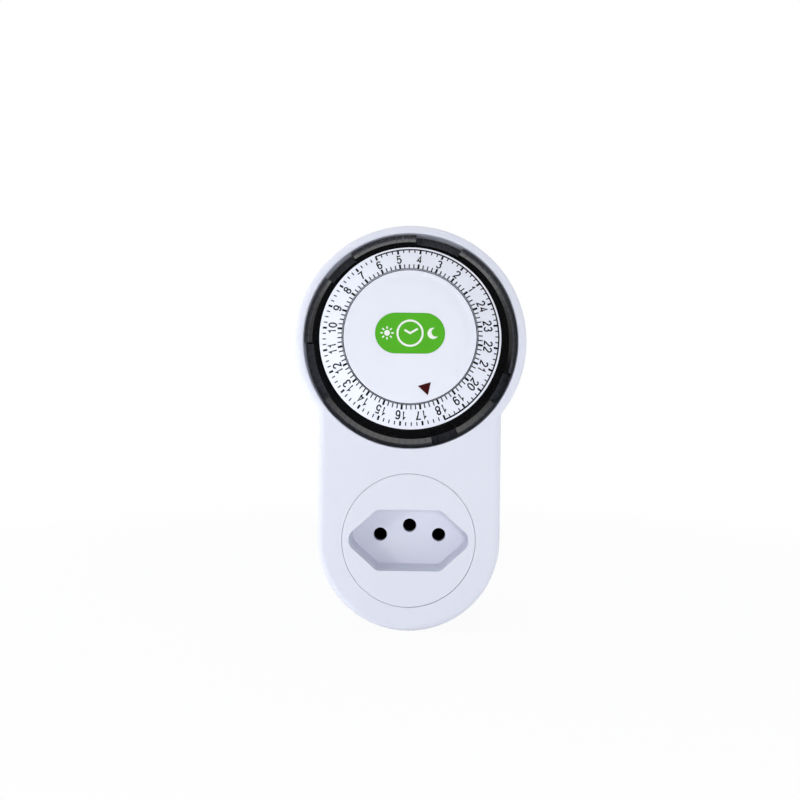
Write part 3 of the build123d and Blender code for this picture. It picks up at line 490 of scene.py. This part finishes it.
def crescentOutline(center, radius, bite):
    # outer arc, then back along the circle that bites into it
    biteX, biteY, biteRadius = bite
    apart = math.hypot(biteX, biteY)
    lean = math.atan2(biteY, biteX)
    reach = (radius ** 2 - biteRadius ** 2 + apart ** 2) / (2 * apart)
    gape = math.acos(reach / radius)
    outerSteps, innerSteps = clockMark["moonSteps"]
    outer = [lean + gape + (2 * math.pi - 2 * gape) * index / outerSteps for index in range(outerSteps + 1)]
    points = [(radius * math.cos(turn), radius * math.sin(turn)) for turn in outer]
    inner = math.acos((apart - reach) / biteRadius)
    back = [lean + math.pi + inner - 2 * inner * index / innerSteps for index in range(1, innerSteps)]
    points += [(biteX + biteRadius * math.cos(turn), biteY + biteRadius * math.sin(turn))
               for turn in back]
    return [(center[0] + x, center[1] + y) for x, y in points]


def makeClockMark():
    shape = bmesh.new()
    middle = (badgeLow + badgeHigh) / 2
    face = badgeLow.y
    thick = clockMark["thickness"] * mm

    def onFace(x, y, lift):
        return Vector((middle.x + x * mm, face - lift, middle.z + y * mm))

    ringRadius = clockMark["ringRadius"]
    ring = arcPoints(0, 0, ringRadius, ringRadius, 0, 360, clockMark["ringSides"])[:-1]
    addRibbon(shape, ring, True, clockMark["line"], onFace)
    hour, minute = clockMark["hourHand"], clockMark["minuteHand"]
    hands = [Vector((math.sin(math.radians(angle)), math.cos(math.radians(angle)))) * reach
             for angle, reach in (hour, minute)]
    addRibbon(shape, [tuple(hands[0]), (0, 0), tuple(hands[1])], False, clockMark["line"], onFace)
    sun = (middle.x - clockMark["emblemOffset"] * mm, middle.z)
    moon = (middle.x + clockMark["emblemOffset"] * mm, middle.z)
    radius = clockMark["sunRadius"] * mm
    disc = arcPoints(0, 0, radius, radius, 0, 360, clockMark["sunSides"])[:-1]
    addPlate(shape, [(sun[0] + x, sun[1] + z) for x, z in disc], face, thick)
    low, high = (reach * mm for reach in clockMark["rays"])
    for ray in range(clockMark["rayCount"]):
        angle = ray * 360 / clockMark["rayCount"]
        addPlate(shape, barOutline(sun, angle, low, high, clockMark["rayWidth"] * mm), face, thick)
    bite = [value * mm for value in clockMark["moonBite"]]
    addPlate(shape, crescentOutline(moon, clockMark["moonRadius"] * mm, bite), face, thick)
    return finishMesh("badgeClockMark", shape, materials["badge_white"], "housing")


makeClockMark()
print("stage 4: badge")


studio = {
    "worldEven": 0.25,  # light from every side
    "worldAbove": 0.12,  # and more from the ceiling
    "worldBehind": 0.42,  # and from the back wall
    "worldTint": (0.94, 0.96, 1.0),
    "dimLevel": 0.012,  # what gloss shows of the unlit room in front
    "dimStart": -0.6,  # turn away from the back wall at which that room begins
    "dimEnd": 0.6,
    "ceilingStart": 0.16,  # squared rise at which the bright ceiling begins
    "ceilingEnd": 0.5,
    "floorSize": 6.0,
    "floorColor": (0.93, 0.935, 0.945),
    "floorRoughness": 0.9,
    "floorWhite": 0.93,  # share of plain white on the floor near the object
    "fadeStart": 0.08,
    "fadeEnd": 0.38,
    "floorDimStart": 0.055,  # the floor in front is dim in gloss too
    "floorDimEnd": 0.12,
    "lamps": [
        # name, place, aim, size, watts, colour, seen in gloss
        ("lowLamp", (0.03, -0.33, 0.035), (0, -0.04, 0.03), 0.07, 0.27, (1.0, 0.99, 0.985), False),
        ("keyLamp", (-0.2, -0.29, 0.035), (0, -0.04, 0.03), 0.07, 0.18, (1.0, 0.99, 0.985), False),
        ("roofLamp", (0.0, -0.05, 0.4), (0, -0.03, 0.07), 0.3, 0.4, (1.0, 1.0, 1.0), False),
        ("leftLamp", (-0.36, -0.06, 0.05), (0, -0.04, 0.03), 0.14, 0.5, (0.96, 0.98, 1.0), False),
        ("rightLamp", (0.36, -0.06, 0.05), (0, -0.04, 0.03), 0.14, 0.25, (0.96, 0.98, 1.0), False),
    ],
}


def addRange(tree, value, start, end, low=0.0, high=1.0):
    fade = addNode(tree, "ShaderNodeMapRange", {"interpolation_type": "SMOOTHSTEP"})
    for name, number in (("From Min", start), ("From Max", end), ("To Min", low), ("To Max", high)):
        fade.inputs[name].default_value = number
    tree.links.new(value, fade.inputs["Value"])
    return fade.outputs[0]


def glossDimming(tree, rays, share):
    # one minus the dimming that only glossy rays meet
    dim = mathNode(tree, "MULTIPLY", mathNode(tree, "MULTIPLY", share, rays.outputs["Is Glossy Ray"]),
                   1.0 - studio["dimLevel"])
    return mathNode(tree, "SUBTRACT", 1.0, dim)


def makeFloor():
    shape = bmesh.new()
    half = studio["floorSize"] / 2
    corners = ((-half, -half), (half, -half), (half, half), (-half, half))
    shape.faces.new([shape.verts.new((x, y, floorHeight)) for x, y in corners])
    mesh = bpy.data.meshes.new("studioFloor")
    shape.to_mesh(mesh)
    shape.free()
    floor = bpy.data.objects.new("studioFloor", mesh)
    bpy.context.scene.collection.objects.link(floor)
    material = bpy.data.materials.new("floorPaper")
    material.use_nodes = True
    tree = material.node_tree
    paper = tree.nodes["Principled BSDF"]
    paper.inputs["Base Color"].default_value = (*studio["floorColor"], 1)
    paper.inputs["Roughness"].default_value = studio["floorRoughness"]
    glow = addNode(tree, "ShaderNodeEmission")
    mix = addNode(tree, "ShaderNodeMixShader")
    rays = addNode(tree, "ShaderNodeLightPath")
    place = addNode(tree, "ShaderNodeTexCoord").outputs["Object"]
    reach = addNode(tree, "ShaderNodeVectorMath", {"operation": "LENGTH"})
    parts = addNode(tree, "ShaderNodeSeparateXYZ")
    tree.links.new(place, reach.inputs[0])
    tree.links.new(place, parts.inputs[0])
    fade = addRange(tree, reach.outputs["Value"], studio["fadeStart"], studio["fadeEnd"],
                    studio["floorWhite"])
    ahead = mathNode(tree, "MULTIPLY", parts.outputs["Y"], -1.0)
    front = addRange(tree, ahead, studio["floorDimStart"], studio["floorDimEnd"])
    tree.links.new(glossDimming(tree, rays, front), glow.inputs["Strength"])
    direct = mathNode(tree, "MAXIMUM", rays.outputs["Is Camera Ray"], rays.outputs["Is Transmission Ray"])
    faded = mathNode(tree, "MULTIPLY", direct, fade)
    seen = mathNode(tree, "MAXIMUM", faded, rays.outputs["Is Glossy Ray"])
    tree.links.new(seen, mix.inputs[0])
    tree.links.new(paper.outputs[0], mix.inputs[1])
    tree.links.new(glow.outputs[0], mix.inputs[2])
    tree.links.new(mix.outputs[0], tree.nodes["Material Output"].inputs["Surface"])
    mesh.materials.append(material)


def makeWorld():
    world = bpy.data.worlds.new("studioWorld")
    bpy.context.scene.world = world
    world.use_nodes = True
    tree = world.node_tree
    parts = addNode(tree, "ShaderNodeSeparateXYZ")
    tree.links.new(addNode(tree, "ShaderNodeTexCoord").outputs["Generated"], parts.inputs[0])
    ahead = mathNode(tree, "MULTIPLY", parts.outputs["Y"], -1.0)
    upright = mathNode(tree, "MULTIPLY", parts.outputs["Z"], parts.outputs["Z"])
    # the light that falls on the object
    light = tree.nodes["Background"]
    light.inputs["Color"].default_value = (*studio["worldTint"], 1)
    above = mathNode(tree, "MAXIMUM", parts.outputs["Z"], 0.0)
    above = mathNode(tree, "MULTIPLY", above, studio["worldAbove"])
    behind = mathNode(tree, "MAXIMUM", parts.outputs["Y"], 0.0)
    behind = mathNode(tree, "MULTIPLY", behind, studio["worldBehind"])
    level = mathNode(tree, "ADD", mathNode(tree, "ADD", above, behind), studio["worldEven"])
    tree.links.new(level, light.inputs["Strength"])
    # the white backdrop that camera, gloss and glass see, dim in gloss where the open room is
    backdrop = addNode(tree, "ShaderNodeBackground")
    backdrop.inputs["Color"].default_value = (1, 1, 1, 1)
    rays = addNode(tree, "ShaderNodeLightPath")
    room = addRange(tree, ahead, studio["dimStart"], studio["dimEnd"])
    ceiling = addRange(tree, upright, studio["ceilingStart"], studio["ceilingEnd"])
    room = mathNode(tree, "MULTIPLY", room, mathNode(tree, "SUBTRACT", 1.0, ceiling))
    tree.links.new(glossDimming(tree, rays, room), backdrop.inputs["Strength"])
    seen = addNode(tree, "ShaderNodeMixShader")
    direct = mathNode(tree, "MAXIMUM", rays.outputs["Is Camera Ray"], rays.outputs["Is Transmission Ray"])
    tree.links.new(mathNode(tree, "MAXIMUM", direct, rays.outputs["Is Glossy Ray"]), seen.inputs[0])
    tree.links.new(light.outputs[0], seen.inputs[1])
    tree.links.new(backdrop.outputs[0], seen.inputs[2])
    tree.links.new(seen.outputs[0], tree.nodes["World Output"].inputs["Surface"])


def makeLamps():
    for name, place, aim, size, watts, color, inGloss in studio["lamps"]:
        lamp = bpy.data.lights.new(name, "AREA")
        lamp.shape = "DISK"
        lamp.size = size
        lamp.energy = watts
        lamp.color = color
        holder = bpy.data.objects.new(name, lamp)
        bpy.context.scene.collection.objects.link(holder)
        holder.visible_glossy = inGloss
        holder.location = place
        holder.rotation_euler = (Vector(aim) - Vector(place)).to_track_quat("-Z", "Y").to_euler()


camera = {
    "place": (4.85 * mm, -249.0 * mm, 33.9 * mm),
    "lens": 29.3,
    "sensor": 36.0,
    "clip": (0.01, 20),
    "shift": (-0.0319, 0.0381),
    "roll": 0.65,  # degrees
}


def makeCamera():
    data = bpy.data.cameras.new("phoneCamera")
    data.lens = camera["lens"]
    data.sensor_width = camera["sensor"]
    data.shift_x, data.shift_y = camera["shift"]
    data.clip_start, data.clip_end = camera["clip"]
    holder = bpy.data.objects.new("phoneCamera", data)
    bpy.context.scene.collection.objects.link(holder)
    holder.location = camera["place"]
    holder.rotation_euler = (math.radians(90), math.radians(-camera["roll"]), 0)
    bpy.context.scene.camera = holder


makeFloor()
makeWorld()
makeLamps()
makeCamera()
bpy.context.scene.view_settings.view_transform = "Standard"
print("stage 5: studio")
